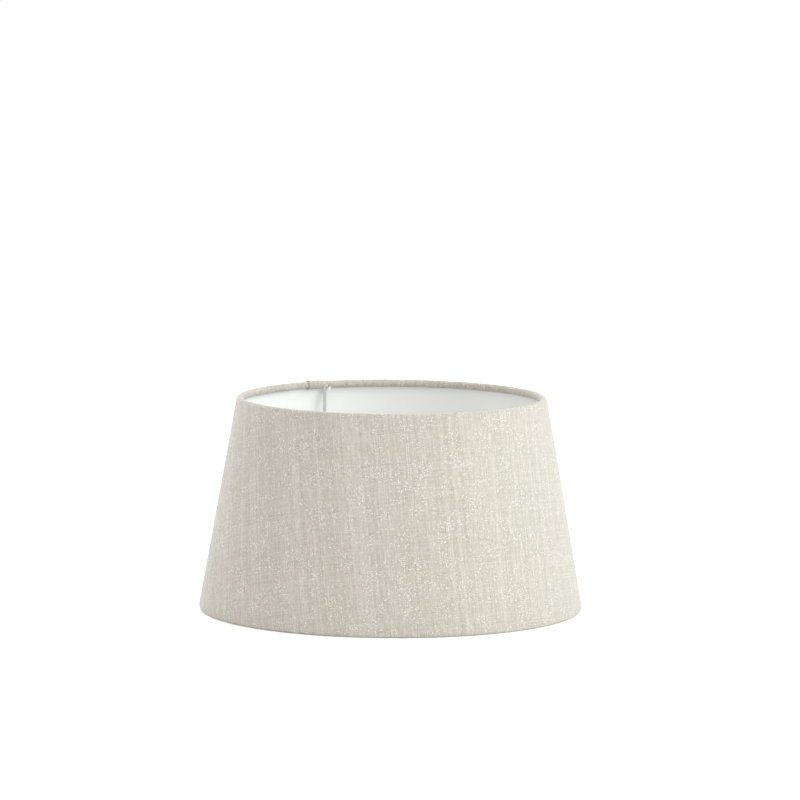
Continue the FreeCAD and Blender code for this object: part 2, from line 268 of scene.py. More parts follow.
def blend_value(tree, factor, first, second):
    node = add_node(tree, "ShaderNodeMix", data_type="FLOAT")
    feed(tree, node, _0=factor, _2=first, _3=second)
    return node.outputs[0]


def fade(tree, value, low, high, to_low=0.0, to_high=1.0):
    node = add_node(tree, "ShaderNodeMapRange", interpolation_type="SMOOTHSTEP")
    feed(tree, node, Value=value, From_Min=low, From_Max=high, To_Min=to_low, To_Max=to_high)
    return node.outputs[0]


def stretched(tree, vector, x, y, z):
    node = add_node(tree, "ShaderNodeVectorMath", operation="MULTIPLY")
    feed(tree, node, _0=vector, _1=(x, y, z))
    return node.outputs[0]


def grain(tree, vector, scale, detail=2.0, roughness=0.5):
    node = add_node(tree, "ShaderNodeTexNoise", noise_dimensions="3D")
    feed(tree, node, Vector=vector, Scale=scale, Detail=detail, Roughness=roughness)
    return node.outputs["Fac"]


def new_group(name, inputs, outputs):
    """Shader node group with named sockets; returns the group and its two end nodes."""
    group = bpy.data.node_groups.new(name, "ShaderNodeTree")
    for socket_name, kind, default in inputs:
        socket = group.interface.new_socket(name=socket_name, in_out="INPUT", socket_type=kind)
        if default is not None:
            socket.default_value = default
    for socket_name, kind in outputs:
        group.interface.new_socket(name=socket_name, in_out="OUTPUT", socket_type=kind)
    return group, add_node(group, "NodeGroupInput"), add_node(group, "NodeGroupOutput")


def use_group(tree, group, **sockets):
    node = add_node(tree, "ShaderNodeGroup")
    node.node_tree = group
    return feed(tree, node, **sockets)


# ---------------------------------------------------------------- shared effects

def weave_group():
    """Plain weave of uneven threads with nubs and pinholes, and a mask of painted shade where the threads
    dip, on a cloth position in metres.
    """
    group, given, result = new_group(
        "Plain weave",
        [
            ("Vector", "NodeSocketVector", None),
            ("Spacing", "NodeSocketFloat", 0.0008),
            ("Wander", "NodeSocketFloat", 0.6),
            ("Slub", "NodeSocketFloat", 0.5),
        ],
        [
            ("Height", "NodeSocketFloat"),
            ("Tone", "NodeSocketFloat"),
            ("Gap", "NodeSocketFloat"),
            ("Nub", "NodeSocketFloat"),
            ("Pinhole", "NodeSocketFloat"),
        ],
    )
    per_thread = add_node(group, "ShaderNodeVectorMath", operation="SCALE")
    feed(group, per_thread, _0=given.outputs["Vector"])
    feed(group, per_thread, Scale=calc(group, "DIVIDE", 1.0, given.outputs["Spacing"]))
    base = per_thread.outputs[0]
    drift = add_node(group, "ShaderNodeTexNoise", noise_dimensions="3D")
    feed(group, drift, Vector=base, Scale=0.11, Detail=2.0)
    centred = add_node(group, "ShaderNodeVectorMath", operation="SUBTRACT")
    feed(group, centred, _0=drift.outputs["Color"], _1=(0.5, 0.5, 0.5))
    swing = add_node(group, "ShaderNodeVectorMath", operation="SCALE")
    feed(group, swing, _0=centred.outputs[0], Scale=calc(group, "MULTIPLY", given.outputs["Wander"], 2.4))
    moved = add_node(group, "ShaderNodeVectorMath", operation="ADD")
    feed(group, moved, _0=base, _1=swing.outputs[0])
    split = feed(group, add_node(group, "ShaderNodeSeparateXYZ"), Vector=moved.outputs[0])
    across = {"warp": split.outputs["X"], "weft": split.outputs["Y"]}
    number = {name: calc(group, "FLOOR", across[name]) for name in across}
    crossing = calc(group, "ADD", number["warp"], number["weft"])
    parity = calc(group, "COSINE", calc(group, "MULTIPLY", crossing, math.pi))
    heights = {}
    tones = {}
    for name, other, sign, seed in (("warp", "weft", 1.0, 3.1), ("weft", "warp", -1.0, 41.7)):
        chance = add_node(group, "ShaderNodeTexWhiteNoise", noise_dimensions="1D")
        feed(group, chance, W=calc(group, "ADD", number[name], seed))
        run = add_node(group, "ShaderNodeCombineXYZ")
        feed(
            group, run, X=calc(group, "MULTIPLY", number[name], 7.31),
            Y=calc(group, "MULTIPLY", across[other], 0.075),
        )
        slub = fade(group, grain(group, run.outputs[0], 1.0, 2.0), 0.38, 0.66)
        width = calc(group, "MULTIPLY_ADD", chance.outputs["Value"], 0.16, 0.74)
        width = calc(group, "MULTIPLY_ADD", calc(group, "MULTIPLY", slub, given.outputs["Slub"]), 0.35, width)
        centre = calc(group, "MULTIPLY_ADD", calc(group, "FRACT", across[name]), 2.0, -1.0)
        spread = calc(group, "DIVIDE", centre, width)
        squared = calc(group, "POWER", calc(group, "ABSOLUTE", spread), 2.0)
        round_top = calc(group, "SUBTRACT", 1.0, squared, clamp=True)
        middle = calc(group, "SUBTRACT", calc(group, "FRACT", across[other]), 0.5)
        arch = calc(group, "COSINE", calc(group, "MULTIPLY", middle, math.pi))
        wave = calc(group, "MULTIPLY", arch, parity)
        lift = calc(group, "MULTIPLY_ADD", calc(group, "MULTIPLY", wave, sign), 0.36, 0.64)
        body = calc(group, "MULTIPLY", calc(group, "SQRT", round_top), lift)
        heights[name] = calc(group, "MULTIPLY", body, calc(group, "MULTIPLY_ADD", slub, 0.25, 0.85))
        fibre = add_node(group, "ShaderNodeCombineXYZ")
        feed(
            group, fibre, X=calc(group, "MULTIPLY", across[name], 5.0),
            Y=calc(group, "MULTIPLY", across[other], 0.9),
        )
        hair = grain(group, fibre.outputs[0], 1.0, 2.0)
        tone = calc(group, "MULTIPLY_ADD", chance.outputs["Value"], 0.45, calc(group, "MULTIPLY", hair, 0.35))
        if name == "warp":
            tones[name] = calc(group, "MULTIPLY_ADD", slub, 0.3, tone)
        else:
            tones[name] = calc(group, "MULTIPLY_ADD", tone, 0.5, 0.25)
    crossing_place = feed(
        group, add_node(group, "ShaderNodeCombineXYZ"), X=calc(group, "ADD", number["warp"], 0.5),
        Y=calc(group, "ADD", number["weft"], 0.5),
    ).outputs[0]
    luck = add_node(group, "ShaderNodeTexWhiteNoise", noise_dimensions="3D")
    feed(group, luck, Vector=crossing_place)
    crowd = fade(group, grain(group, moved.outputs[0], 0.055, 2.0), 0.42, 0.62)
    nub = fade(group, calc(group, "MULTIPLY_ADD", crowd, 0.10, luck.outputs["Value"]), 0.93, 1.02)
    unlucky = calc(group, "MULTIPLY_ADD", crowd, -0.10, luck.outputs["Value"])
    # pinholes are painted dark in the linen, standing in for the shade inside a hole in the weave
    pinhole = fade(group, unlucky, -0.03, 0.07, 1.0, 0.0)
    inside = add_node(group, "ShaderNodeVectorMath", operation="DISTANCE")
    feed(group, inside, _0=stretched(group, moved.outputs[0], 1.0, 1.0, 0.0), _1=crossing_place)
    round_spot = fade(group, inside.outputs["Value"], 0.2, 0.7, 1.0, 0.0)
    nub = calc(group, "MULTIPLY", nub, round_spot)
    pinhole = calc(group, "MULTIPLY", pinhole, round_spot)
    top = calc(group, "MAXIMUM", heights["warp"], heights["weft"])
    warp_up = calc(group, "GREATER_THAN", heights["warp"], heights["weft"])
    # the gap mask is painted shade, strongest where both threads dip low
    feed(
        group, result, Height=top, Tone=blend_value(group, warp_up, tones["weft"], tones["warp"]),
        Gap=fade(group, top, 0.12, 0.42, 1.0, 0.0), Nub=nub, Pinhole=pinhole,
    )
    return group


def streak_group():
    """Long pale and dark streaks of thick and thin yarn, both ways of the cloth, and specks."""
    group, given, result = new_group(
        "Yarn streaks",
        [
            ("Vector", "NodeSocketVector", None),
            ("Pitch", "NodeSocketFloat", 0.0022),
            ("Length", "NodeSocketFloat", 0.03),
        ],
        [("Warp", "NodeSocketFloat"), ("Weft", "NodeSocketFloat"), ("Speck", "NodeSocketFloat")],
    )
    split = feed(group, add_node(group, "ShaderNodeSeparateXYZ"), Vector=given.outputs["Vector"])
    x, y = split.outputs["X"], split.outputs["Y"]
    outs = {}
    for name, short, long, stretch in (("Warp", x, y, 1.0), ("Weft", y, x, 0.7)):
        run = add_node(group, "ShaderNodeCombineXYZ")
        feed(
            group, run, X=calc(group, "DIVIDE", short, given.outputs["Pitch"]),
            Y=calc(group, "DIVIDE", long, calc(group, "MULTIPLY", given.outputs["Length"], stretch)),
            Z=7.0 * stretch,
        )
        outs[name] = fade(group, grain(group, run.outputs[0], 1.0, 3.0, 0.6), 0.3, 0.7)
    fine = stretched(group, given.outputs["Vector"], 1.0, 0.72, 1.0)
    outs["Speck"] = fade(group, grain(group, fine, 900.0, 2.0, 0.6), 0.28, 0.72)
    feed(group, result, **outs)
    return group


def scuff_group():
    """Slow unevenness and fine dulling that handling leaves on a surface."""
    group, given, result = new_group(
        "Handling",
        [
            ("Vector", "NodeSocketVector", None),
            ("Patch", "NodeSocketFloat", 0.03),
            ("Fine", "NodeSocketFloat", 0.0015),
        ],
        [("Patches", "NodeSocketFloat"), ("Dulling", "NodeSocketFloat")],
    )
    broad = grain(group, given.outputs["Vector"], calc(group, "DIVIDE", 1.0, given.outputs["Patch"]), 3.0)
    fine = grain(group, given.outputs["Vector"], calc(group, "DIVIDE", 1.0, given.outputs["Fine"]), 4.0, 0.65)
    feed(
        group, result, Patches=fade(group, broad, 0.3, 0.7),
        Dulling=calc(group, "MULTIPLY", fine, fade(group, broad, 0.25, 0.8, 0.4, 1.0)),
    )
    return group


# ---------------------------------------------------------------- materials

def new_material(name, **plain):
    """Material with one Principled shader; plain values sit on the shader's own sockets."""
    material = bpy.data.materials.new(name)
    material.use_nodes = True
    tree = material.node_tree
    shader = tree.nodes["Principled BSDF"]
    feed(tree, shader, **plain)
    return material, tree, shader


def bump(tree, height, distance, strength=1.0, normal=None):
    node = add_node(tree, "ShaderNodeBump")
    feed(tree, node, Height=height, Distance=distance, Strength=strength)
    if normal is not None:
        feed(tree, node, Normal=normal)
    return node.outputs[0]


def linen_material(looks, groups):
    """Off-white slubby linen, woven on the flat cut of the cloth."""
    material, tree, shader = new_material(
        "Linen", Sheen_Weight=0.3, Sheen_Roughness=0.4, Specular_IOR_Level=0.25
    )
    cloth = add_node(tree, "ShaderNodeUVMap", uv_map="FlatCut").outputs["UV"]
    weave = use_group(tree, groups["weave"], Vector=cloth, Spacing=looks.thread_spacing, Wander=0.6, Slub=0.7)
    streaks = use_group(tree, groups["streaks"], Vector=cloth, Pitch=0.0019, Length=0.022)
    place = add_node(tree, "ShaderNodeTexCoord").outputs["Object"]
    handling = use_group(tree, groups["handling"], Vector=place, Patch=0.06, Fine=0.004)
    tone = calc(tree, "MULTIPLY", weave.outputs["Tone"], 1.3)
    tone = calc(tree, "MULTIPLY_ADD", streaks.outputs["Warp"], 0.1, tone)
    tone = calc(tree, "MULTIPLY_ADD", streaks.outputs["Weft"], 0.08, tone)
    tone = calc(tree, "MULTIPLY_ADD", streaks.outputs["Speck"], 0.2, tone)
    tone = calc(tree, "SUBTRACT", tone, 0.445, clamp=True)
    light = (*looks.thread_light, 1.0)
    dark = (*looks.thread_dark, 1.0)
    colour = blend_colour(tree, tone, dark, light)
    # the gaps between threads and the pinholes get the painted shade colour; the nubs are the yarn's own pale
    # knots
    spots = (
        ("Gap", 0.4, looks.gap_shade_colour),
        ("Pinhole", 0.85, looks.gap_shade_colour),
        ("Nub", 0.9, looks.nub_colour),
    )
    for name, share, tint in spots:
        where = calc(tree, "MULTIPLY", weave.outputs[name], share)
        colour = blend_colour(tree, where, colour, (*tint, 1.0))
    cool = fade(tree, handling.outputs["Patches"], 0.0, 1.0, 0.0, 0.35)
    colour = blend_colour(tree, cool, colour, (0.955, 1.0, 0.985, 1.0), "MULTIPLY")
    rough = calc(tree, "MULTIPLY_ADD", weave.outputs["Tone"], 0.1, 0.84)
    height = calc(tree, "MULTIPLY_ADD", streaks.outputs["Warp"], 0.2, weave.outputs["Height"])
    feed(tree, shader, Base_Color=colour, Roughness=rough, Normal=bump(tree, height, 0.00016, 0.7))
    return material


def lining_material(looks, groups):
    """Smooth white plastic sheet with a soft shine."""
    material, tree, shader = new_material("White lining", Specular_IOR_Level=0.35)
    place = add_node(tree, "ShaderNodeTexCoord").outputs["Object"]
    handling = use_group(tree, groups["handling"], Vector=place, Patch=0.05, Fine=0.0012)
    white = (*looks.lining_colour, 1.0)
    warm = tuple(0.94 * channel for channel in looks.lining_colour[:2]) + (0.88 * looks.lining_colour[2], 1.0)
    colour = blend_colour(tree, calc(tree, "MULTIPLY", handling.outputs["Patches"], 0.22), white, warm)
    rough = calc(tree, "MULTIPLY_ADD", handling.outputs["Dulling"], 0.16, 0.42)
    height = calc(tree, "MULTIPLY_ADD", handling.outputs["Dulling"], 0.12, handling.outputs["Patches"])
    feed(tree, shader, Base_Color=colour, Roughness=rough, Normal=bump(tree, height, 0.0002, 0.35))
    return material


def zinc_material(looks, groups):
    """Zinc-plated wire and plate, satin, with drawing marks and dull patches."""
    material, tree, shader = new_material("Zinc plate")
    place = add_node(tree, "ShaderNodeTexCoord").outputs["Object"]
    handling = use_group(tree, groups["handling"], Vector=place, Patch=0.009, Fine=0.0006)
    bright = (*looks.wire_colour, 1.0)
    dull = tuple(0.84 * channel for channel in looks.wire_colour) + (1.0,)
    colour = blend_colour(tree, calc(tree, "MULTIPLY", handling.outputs["Patches"], 0.6), bright, dull)
    rough = calc(tree, "MULTIPLY_ADD", handling.outputs["Dulling"], 0.28, 0.26)
    marks = grain(tree, stretched(tree, place, 1.0, 1.0, 0.05), 2600.0, 2.0)
    metal = calc(tree, "SUBTRACT", 1.0, calc(tree, "MULTIPLY", handling.outputs["Patches"], 0.12))
    normal = bump(tree, marks, 0.00004, 0.5)
    feed(tree, shader, Base_Color=colour, Roughness=rough, Metallic=metal, Normal=normal)
    return material


def tape_material(looks, groups):
    """Matt white tape, slightly creased where it goes round the wire."""
    material, tree, shader = new_material("White tape", Specular_IOR_Level=0.3)
    place = add_node(tree, "ShaderNodeTexCoord").outputs["Object"]
    handling = use_group(tree, groups["handling"], Vector=place, Patch=0.006, Fine=0.0009)
    white = (*looks.tape_colour, 1.0)
    grey = tuple(0.8 * channel for channel in looks.tape_colour) + (1.0,)
    colour = blend_colour(tree, calc(tree, "MULTIPLY", handling.outputs["Patches"], 0.4), white, grey)
    rough = calc(tree, "MULTIPLY_ADD", handling.outputs["Dulling"], 0.2, 0.62)
    normal = bump(tree, handling.outputs["Dulling"], 0.0002, 0.6)
    feed(tree, shader, Base_Color=colour, Roughness=rough, Normal=normal)
    return material


def thread_material(looks, _groups):
    """Bleached single thread, pale and hairy."""
    material, tree, shader = new_material("Pulled thread", Specular_IOR_Level=0.2, Sheen_Weight=0.2)
    place = add_node(tree, "ShaderNodeTexCoord").outputs["Object"]
    twist = grain(tree, stretched(tree, place, 1.0, 1.0, 3.0), 2400.0, 2.0)
    pale = tuple(0.95 * channel for channel in looks.tape_colour) + (1.0,)
    colour = blend_colour(tree, twist, pale, (*looks.tape_colour, 1.0))
    rough = calc(tree, "MULTIPLY_ADD", twist, 0.12, 0.8)
    feed(tree, shader, Base_Color=colour, Roughness=rough, Normal=bump(tree, twist, 0.00005, 0.6))
    return material


def floor_material():
    """Pale seamless floor."""
    glow = bpy.context.scene.shade_studio.floor_glow
    material, tree, shader = new_material(
        "Pale floor", Specular_IOR_Level=0.0, Roughness=0.9, Emission_Strength=glow
    )
    shader.inputs["Emission Color"].default_value = (1.0, 1.0, 1.0, 1.0)
    place = add_node(tree, "ShaderNodeTexCoord").outputs["Object"]
    faint = grain(tree, place, 3.0, 2.0)
    share = calc(tree, "MULTIPLY", faint, 0.2)
    colour = blend_colour(tree, share, (0.94, 0.94, 0.94, 1.0), (0.925, 0.925, 0.92, 1.0))
    feed(tree, shader, Base_Color=colour)
    return material


def finish_material(name):
    """The named finish, made once with the groups that the finishes share."""
    if name not in bpy.data.materials:
        looks = bpy.context.scene.shade_finishes
        groups = {"weave": weave_group(), "streaks": streak_group(), "handling": scuff_group()}
        for make in (linen_material, lining_material, zinc_material, tape_material, thread_material):
            make(looks, groups)
        floor_material()
    return bpy.data.materials[name]


def dress(obj, name):
    obj.data.materials.clear()
    obj.data.materials.append(finish_material(name))


# ---------------------------------------------------------------- the linen cover

def lap_span(sizes):
    """Directions of the tucked end of the wall and, a turn and a lap further, of the flap's free edge."""
    start = sizes.seam_angle - sizes.lap_angle
    return start, start + 2 * math.pi + sizes.lap_angle


def arm_directions(sizes):
    """Directions of the fitter's arms, evenly spaced from the first."""
    return [
        sizes.first_arm_angle + number * 2 * math.pi / sizes.arm_count
        for number in range(sizes.arm_count)
    ]


def directions_round(sizes):
    """Directions of the cloth's columns, closer together at the lap and at the arms."""
    start, stop = lap_span(sizes)
    steps = list(np.arange(start, stop, math.radians(1.25))) + [stop]
    for arm in arm_directions(sizes):
        arm += 2 * math.pi if arm < start else 0.0
        steps += list(arm + np.radians(np.arange(-2.2, 1.2, 0.13)))
    steps += list(start + np.radians([0.0, 0.5]))
    steps += list(stop - np.radians(np.arange(0.0, 8.6, 0.3)))
    steps = np.array(sorted(step for step in steps if start <= step <= stop))
    keep = np.concatenate([[True], np.diff(steps) > math.radians(0.06)])
    keep[-1] = True
    return steps[keep]


def smooth_step(value, low, high):
    share = np.clip((value - low) / (high - low), 0.0, 1.0)
    return share * share * (3 - 2 * share)


def cover_section(wall):
    """Rows of the cloth from one tucked edge to the other: part, angle round the roll or height, length."""
    rows = []
    for angle in np.linspace(-wall.tuck_angle, 0.0, FOOT_ROWS):
        rows.append(("bottom", angle, angle * wall.roll_middle))
    for height in np.linspace(0.0, wall.slant, WALL_ROWS)[1:-1]:
        rows.append(("wall", height, height))
    for angle in np.linspace(0.0, wall.tuck_angle, TOP_ROWS):
        rows.append(("top", angle, wall.slant + angle * wall.roll_middle))
    return rows


def ripple(*place):
    return noise.noise(Vector(place)) * 2.0


def cover_point(wall, sizes, row, turn):
    """Place of the middle of the cloth on one row, in one direction."""
    kind, step, length = row
    stop = lap_span(sizes)[1]
    to_edge = stop - turn
    full_lap, no_lap = sizes.lap_angle + 0.003, sizes.lap_angle + 0.034
    lap = 1.0 - smooth_step(to_edge, full_lap, no_lap)
    circle = (math.cos(turn), math.sin(turn))
    hem = sizes.hem_ripple * ripple(circle[0] * 9, circle[1] * 9, length * 90)
    hem += 0.5 * sizes.hem_ripple * ripple(circle[0] * 31, circle[1] * 31, length * 200 + 5)
    hem *= 1.0 - lap
    if kind == "wall":
        edge = smooth_step(min(step, wall.slant - step), 0.0, 0.012)
        offset = wall.lap_offset * lap * (LAP_PRESSED + (1 - LAP_PRESSED) * edge)
        offset += sizes.wall_ripple * ripple(circle[0] * 3, circle[1] * 3, step * 14 + 20) * edge
        offset += hem * (1 - edge)
        out, along, ring = wall.roll_middle + offset, step, "bottom"
    else:
        beyond = smooth_step(abs(step), 0.2, 1.0)
        rise = LAP_PRESSED * wall.lap_offset * lap
        slack = 0.0
        if kind == "bottom":
            rise *= 1 - beyond
        else:
            from_far_side = abs((turn - sizes.seam_angle) % (2 * math.pi) + 0.03 - math.pi)
            near_seam = 1.0 - smooth_step(from_far_side, 2.93, 3.05)
            slack = sizes.hem_slack * near_seam * smooth_step(step, 1.8, 4.2)
        tucked = smooth_step(abs(step), wall.tuck_angle - 1.6, wall.tuck_angle)
        radius = wall.roll_middle + rise + slack + hem * (1 - 0.7 * tucked)
        out, along, ring = radius * math.cos(step), radius * math.sin(step), kind
        limit = wall.roll_inner - sizes.lining_thickness - sizes.cover_thickness / 2 - 0.12 * MM
        if abs(step) > math.pi:
            out = min(out, limit)
    return wall.place(ring, out, along)


def flat_cut_place(wall, sizes, length, turn):
    """Where a point of the cover lies on the flat cut: a ring sector, with its seam ends apart."""
    middle = sum(lap_span(sizes)) / 2
    spread = (turn - middle) * math.sin(wall.slope)
    reach = wall.apex_distance - length
    return reach * math.sin(spread), -reach * math.cos(spread)


def cut_away(wall, sizes, row, turn):
    """Where the cloth is missing: the arm slits of the top hem and the trimmed foot under the flap."""
    kind, step, _ = row
    start = lap_span(sizes)[0]
    if kind == "bottom" and abs(step) > 0.35 and turn < start + sizes.lap_angle - 0.008:
        return True
    if kind != "top" or step < SLIT_FOOT:
        return False
    half = sizes.slit_width / 2 / wall.top_r
    for number, arm in enumerate(arm_directions(sizes)):
        away = (turn - arm + math.pi) % (2 * math.pi) - math.pi
        ragged = 0.1 * half * ripple(step * 9.0, number * 3.0, math.copysign(4.0, away))
        opened = smooth_step(step, 2.6, 3.7)
        apex = -0.75 * half
        left = apex + (half - apex) * opened
        right = apex - (1.75 * half + apex) * opened - 0.2 * half
        if right - ragged < away < left + ragged:
            return True
    return False


def make_cover(sizes):
    """Cloth sheet over both wires, lapped at the seam and slit at the arms."""
    wall = Wall(sizes)
    rows = cover_section(wall)
    turns = directions_round(sizes)
    sheet = bmesh.new()
    flat = sheet.loops.layers.uv.new("FlatCut")
    grid = []
    for turn in turns:
        column = []
        for row in rows:
            r, z = cover_point(wall, sizes, row, turn)
            column.append(sheet.verts.new((r * math.cos(turn), r * math.sin(turn), z)))
        grid.append(column)
    for i in range(len(turns) - 1):
        middle_turn = (turns[i] + turns[i + 1]) / 2
        for j in range(len(rows) - 1):
            if cut_away(wall, sizes, rows[j + 1 if rows[j][0] == "top" else j], middle_turn):
                continue
            corners = [(i, j), (i + 1, j), (i + 1, j + 1), (i, j + 1)]
            face = sheet.faces.new([grid[a][b] for a, b in corners])
            face.smooth = True
            for loop, (a, b) in zip(face.loops, corners):
                loop[flat].uv = flat_cut_place(wall, sizes, rows[b][2], turns[a])
    loose = [vert for vert in sheet.verts if not vert.link_faces]
    bmesh.ops.delete(sheet, geom=loose, context="VERTS")
    mesh = bpy.data.meshes.new("linen_cover")
    sheet.to_mesh(mesh)
    sheet.free()
    cover = bpy.data.objects.new("linen_cover", mesh)
    bpy.context.scene.collection.objects.link(cover)
    select_only(cover)
    thick = cover.modifiers.new("Thickness", "SOLIDIFY")
    thick.thickness = sizes.cover_thickness
    thick.offset = 0.0
    bpy.ops.object.modifier_apply(modifier=thick.name)
    return cover, wall


def select_only(obj):
    bpy.ops.object.select_all(action="DESELECT")
    obj.select_set(True)
    bpy.context.view_layer.objects.active = obj


class SHADE_OT_linen_cover(bpy.types.Operator):
    """Lay the linen cover over both ring wires"""

    bl_idname = "shade.linen_cover"
    bl_label = "Linen Cover"

    def execute(self, context):
        sizes = context.scene.shade_sizes
        cover, wall = make_cover(sizes)
        dress(cover, "Linen")
        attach(cover, "root")
        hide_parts("fabric_cover")
        return {"FINISHED"}


# ---------------------------------------------------------------- the lining

class SHADE_OT_lining(bpy.types.Operator):
    """Model the white lining by spinning its section, then step its end out under the flap"""

    bl_idname = "shade.lining"
    bl_label = "Lining"

    def execute(self, context):
        sizes = context.scene.shade_sizes
        wall = Wall(sizes)
        low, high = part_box("liner")
        middle_out = wall.roll_inner - sizes.lining_thickness / 2
        slant = (high.z - low.z) / math.cos(wall.slope) - 0.4 * MM
        r, z = wall.place("bottom", middle_out, wall.slant / 2)
        bpy.ops.object.select_all(action="DESELECT")
        bpy.ops.mesh.primitive_plane_add(size=1.0, location=(0, 0, 0))
        lining = context.object
        lining.name = "white_lining"
        lining.data.name = "white_lining"
        bpy.ops.object.mode_set(mode="EDIT")
        bpy.ops.transform.resize(value=(sizes.lining_thickness, slant, 1.0))
        bpy.ops.object.mode_set(mode="OBJECT")
        lining.location = (r, 0, z)
        lining.rotation_euler = (math.pi / 2, -wall.slope, 0)
        bpy.ops.object.transform_apply(location=True, rotation=True, scale=True)
        start = lap_span(sizes)[0]
        bpy.ops.object.mode_set(mode="EDIT")
        bpy.ops.mesh.select_all(action="SELECT")
        turn_selected(start)
        bpy.ops.mesh.spin(
            steps=LINING_STEPS, angle=-(2 * math.pi - LINING_GAP), center=(0, 0, 0), axis=(0, 0, 1)
        )
        bpy.ops.object.mode_set(mode="OBJECT")
        lay_under_flap(lining, start - LINING_GAP, wall, sizes)
        dress(lining, "White lining")
        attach(lining, "root")
        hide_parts("liner")
        return {"FINISHED"}


def turn_selected(angle):
    """Turn what is selected in edit mode about the shade's axis."""
    bpy.ops.transform.rotate(value=-angle, orient_axis="Z", center_override=(0, 0, 0))


def lay_under_flap(lining, end, wall, sizes):
    """Step the lining's far end out by the lap and carry it on behind the wall's tucked end."""
    select_only(lining)
    mesh = lining.data
    out = Vector((math.cos(end), math.sin(end), 0))
    across = Vector((-math.sin(end), math.cos(end), 0))
    bpy.ops.object.mode_set(mode="EDIT")
    bpy.ops.mesh.select_all(action="DESELECT")
    bpy.ops.object.mode_set(mode="OBJECT")
    for edge in mesh.edges:
        ends = [mesh.vertices[v].co for v in edge.vertices]
        edge.select = all(abs(co.dot(across)) < 1e-6 and co.dot(out) > 0 for co in ends)
    bpy.ops.object.mode_set(mode="EDIT")
    outward = (out * math.cos(wall.slope) + Vector((0, 0, math.sin(wall.slope)))) * wall.lap_offset
    bpy.ops.mesh.extrude_region_move(TRANSFORM_OT_translate={"value": outward})
    turn_selected(math.radians(0.01))
    for _ in range(LAP_STEPS):
        bpy.ops.mesh.extrude_region_move()
        turn_selected((sizes.lap_angle + LINING_GAP) / LAP_STEPS)
    bpy.ops.mesh.select_all(action="SELECT")
    bpy.ops.mesh.remove_doubles(threshold=1e-6)
    bpy.ops.mesh.normals_make_consistent(inside=False)
    bpy.ops.object.mode_set(mode="OBJECT")
    bpy.ops.object.shade_smooth_by_angle(angle=math.radians(35))


# ---------------------------------------------------------------- wires, tapes and the fitter

class SHADE_OT_wire_finish(bpy.types.Operator):
    """Give the wires, the hub ring and the seam tape their finishes"""

    bl_idname = "shade.wire_finish"
    bl_label = "Wire and Tape Finish"

    def execute(self, context):
        for name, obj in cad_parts.items():
            if name in ("fabric_cover", "liner", "top_ring_tape", "bottom_ring_tape"):
                continue
            dress(obj, "White tape" if "tape" in name else "Zinc plate")
        return {"FINISHED"}


def wind_tape(node):
    """Tape wound round a ring wire: a hollow torus whose spiral overlap is pressed up out of its faces."""
    radius, height, outer = ring_measures(node)
    thin = outer - TAPE_INSET
    bpy.ops.object.select_all(action="DESELECT")
    bpy.ops.mesh.primitive_torus_add(
        major_segments=240, minor_segments=20, major_radius=radius, minor_radius=thin, location=(0, 0, height)
    )
    tape = bpy.context.object
    tape.name = tape.data.name = node + "_wound"
    bpy.ops.object.transform_apply(location=True, rotation=True, scale=True)
    bpy.ops.object.mode_set(mode="EDIT")
    bpy.ops.mesh.select_mode(type="FACE")
    bpy.ops.mesh.select_all(action="DESELECT")
    bpy.ops.object.mode_set(mode="OBJECT")
    for face in tape.data.polygons:
        spot = face.center
        along = math.atan2(spot.y, spot.x) / (2 * math.pi)
        round_wire = math.atan2(spot.z - height, math.hypot(spot.x, spot.y) - radius) / (2 * math.pi)
        face.select = (along * TAPE_TURNS + round_wire) % 1.0 < TAPE_OVERLAP
    bpy.ops.object.mode_set(mode="EDIT")
    bpy.ops.mesh.extrude_region_shrink_fatten(TRANSFORM_OT_shrink_fatten={"value": TAPE_STEP})
    bpy.ops.mesh.select_mode(type="VERT")
    bpy.ops.object.mode_set(mode="OBJECT")
    hollow = tape.modifiers.new("Hollow", "SOLIDIFY")
    hollow.thickness = TAPE_WALL
    hollow.offset = -1.0
    bpy.ops.object.modifier_apply(modifier=hollow.name)
    bpy.ops.object.shade_smooth_by_angle(angle=math.radians(40))
    return tape


class SHADE_OT_ring_tapes(bpy.types.Operator):
    """Wind the white tape round both ring wires"""

    bl_idname = "shade.ring_tapes"
    bl_label = "Ring Tapes"

    def execute(self, context):
        for node in ("top_ring_tape", "bottom_ring_tape"):
            tape = wind_tape(node)
            dress(tape, "White tape")
            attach(tape, "root")
            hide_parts(node)
        return {"FINISHED"}


# ---------------------------------------------------------------- welds of the fitter

def lump(name, place, size, turn, cut=None):
    """Weld bead: a ball squashed to a lens, roughened, and cut flat where it meets the plate."""
    bpy.ops.object.select_all(action="DESELECT")
    bpy.ops.mesh.primitive_uv_sphere_add(segments=28, ring_count=16, radius=1.0, location=(0, 0, 0))
    bead = bpy.context.object
    bead.name = bead.data.name = name
    bpy.ops.object.mode_set(mode="EDIT")
    bpy.ops.mesh.select_all(action="SELECT")
    bpy.ops.transform.resize(value=size)
    if cut is not None:
        bpy.ops.mesh.bisect(plane_co=(0, 0, cut), plane_no=(0, 0, 1), clear_outer=True, use_fill=True)
    bpy.ops.mesh.select_all(action="SELECT")
    bpy.ops.transform.vertex_random(offset=0.12 * size[2], normal=0.5, seed=round(10 * turn))
    bpy.ops.mesh.vertices_smooth(factor=0.5, repeat=2)
    bpy.ops.object.mode_set(mode="OBJECT")
    bead.location = place
    bead.rotation_euler = (0, 0, turn)
    bpy.ops.object.transform_apply(location=True, rotation=True, scale=True)
    bpy.ops.object.shade_smooth_by_angle(angle=math.radians(50))
    return bead


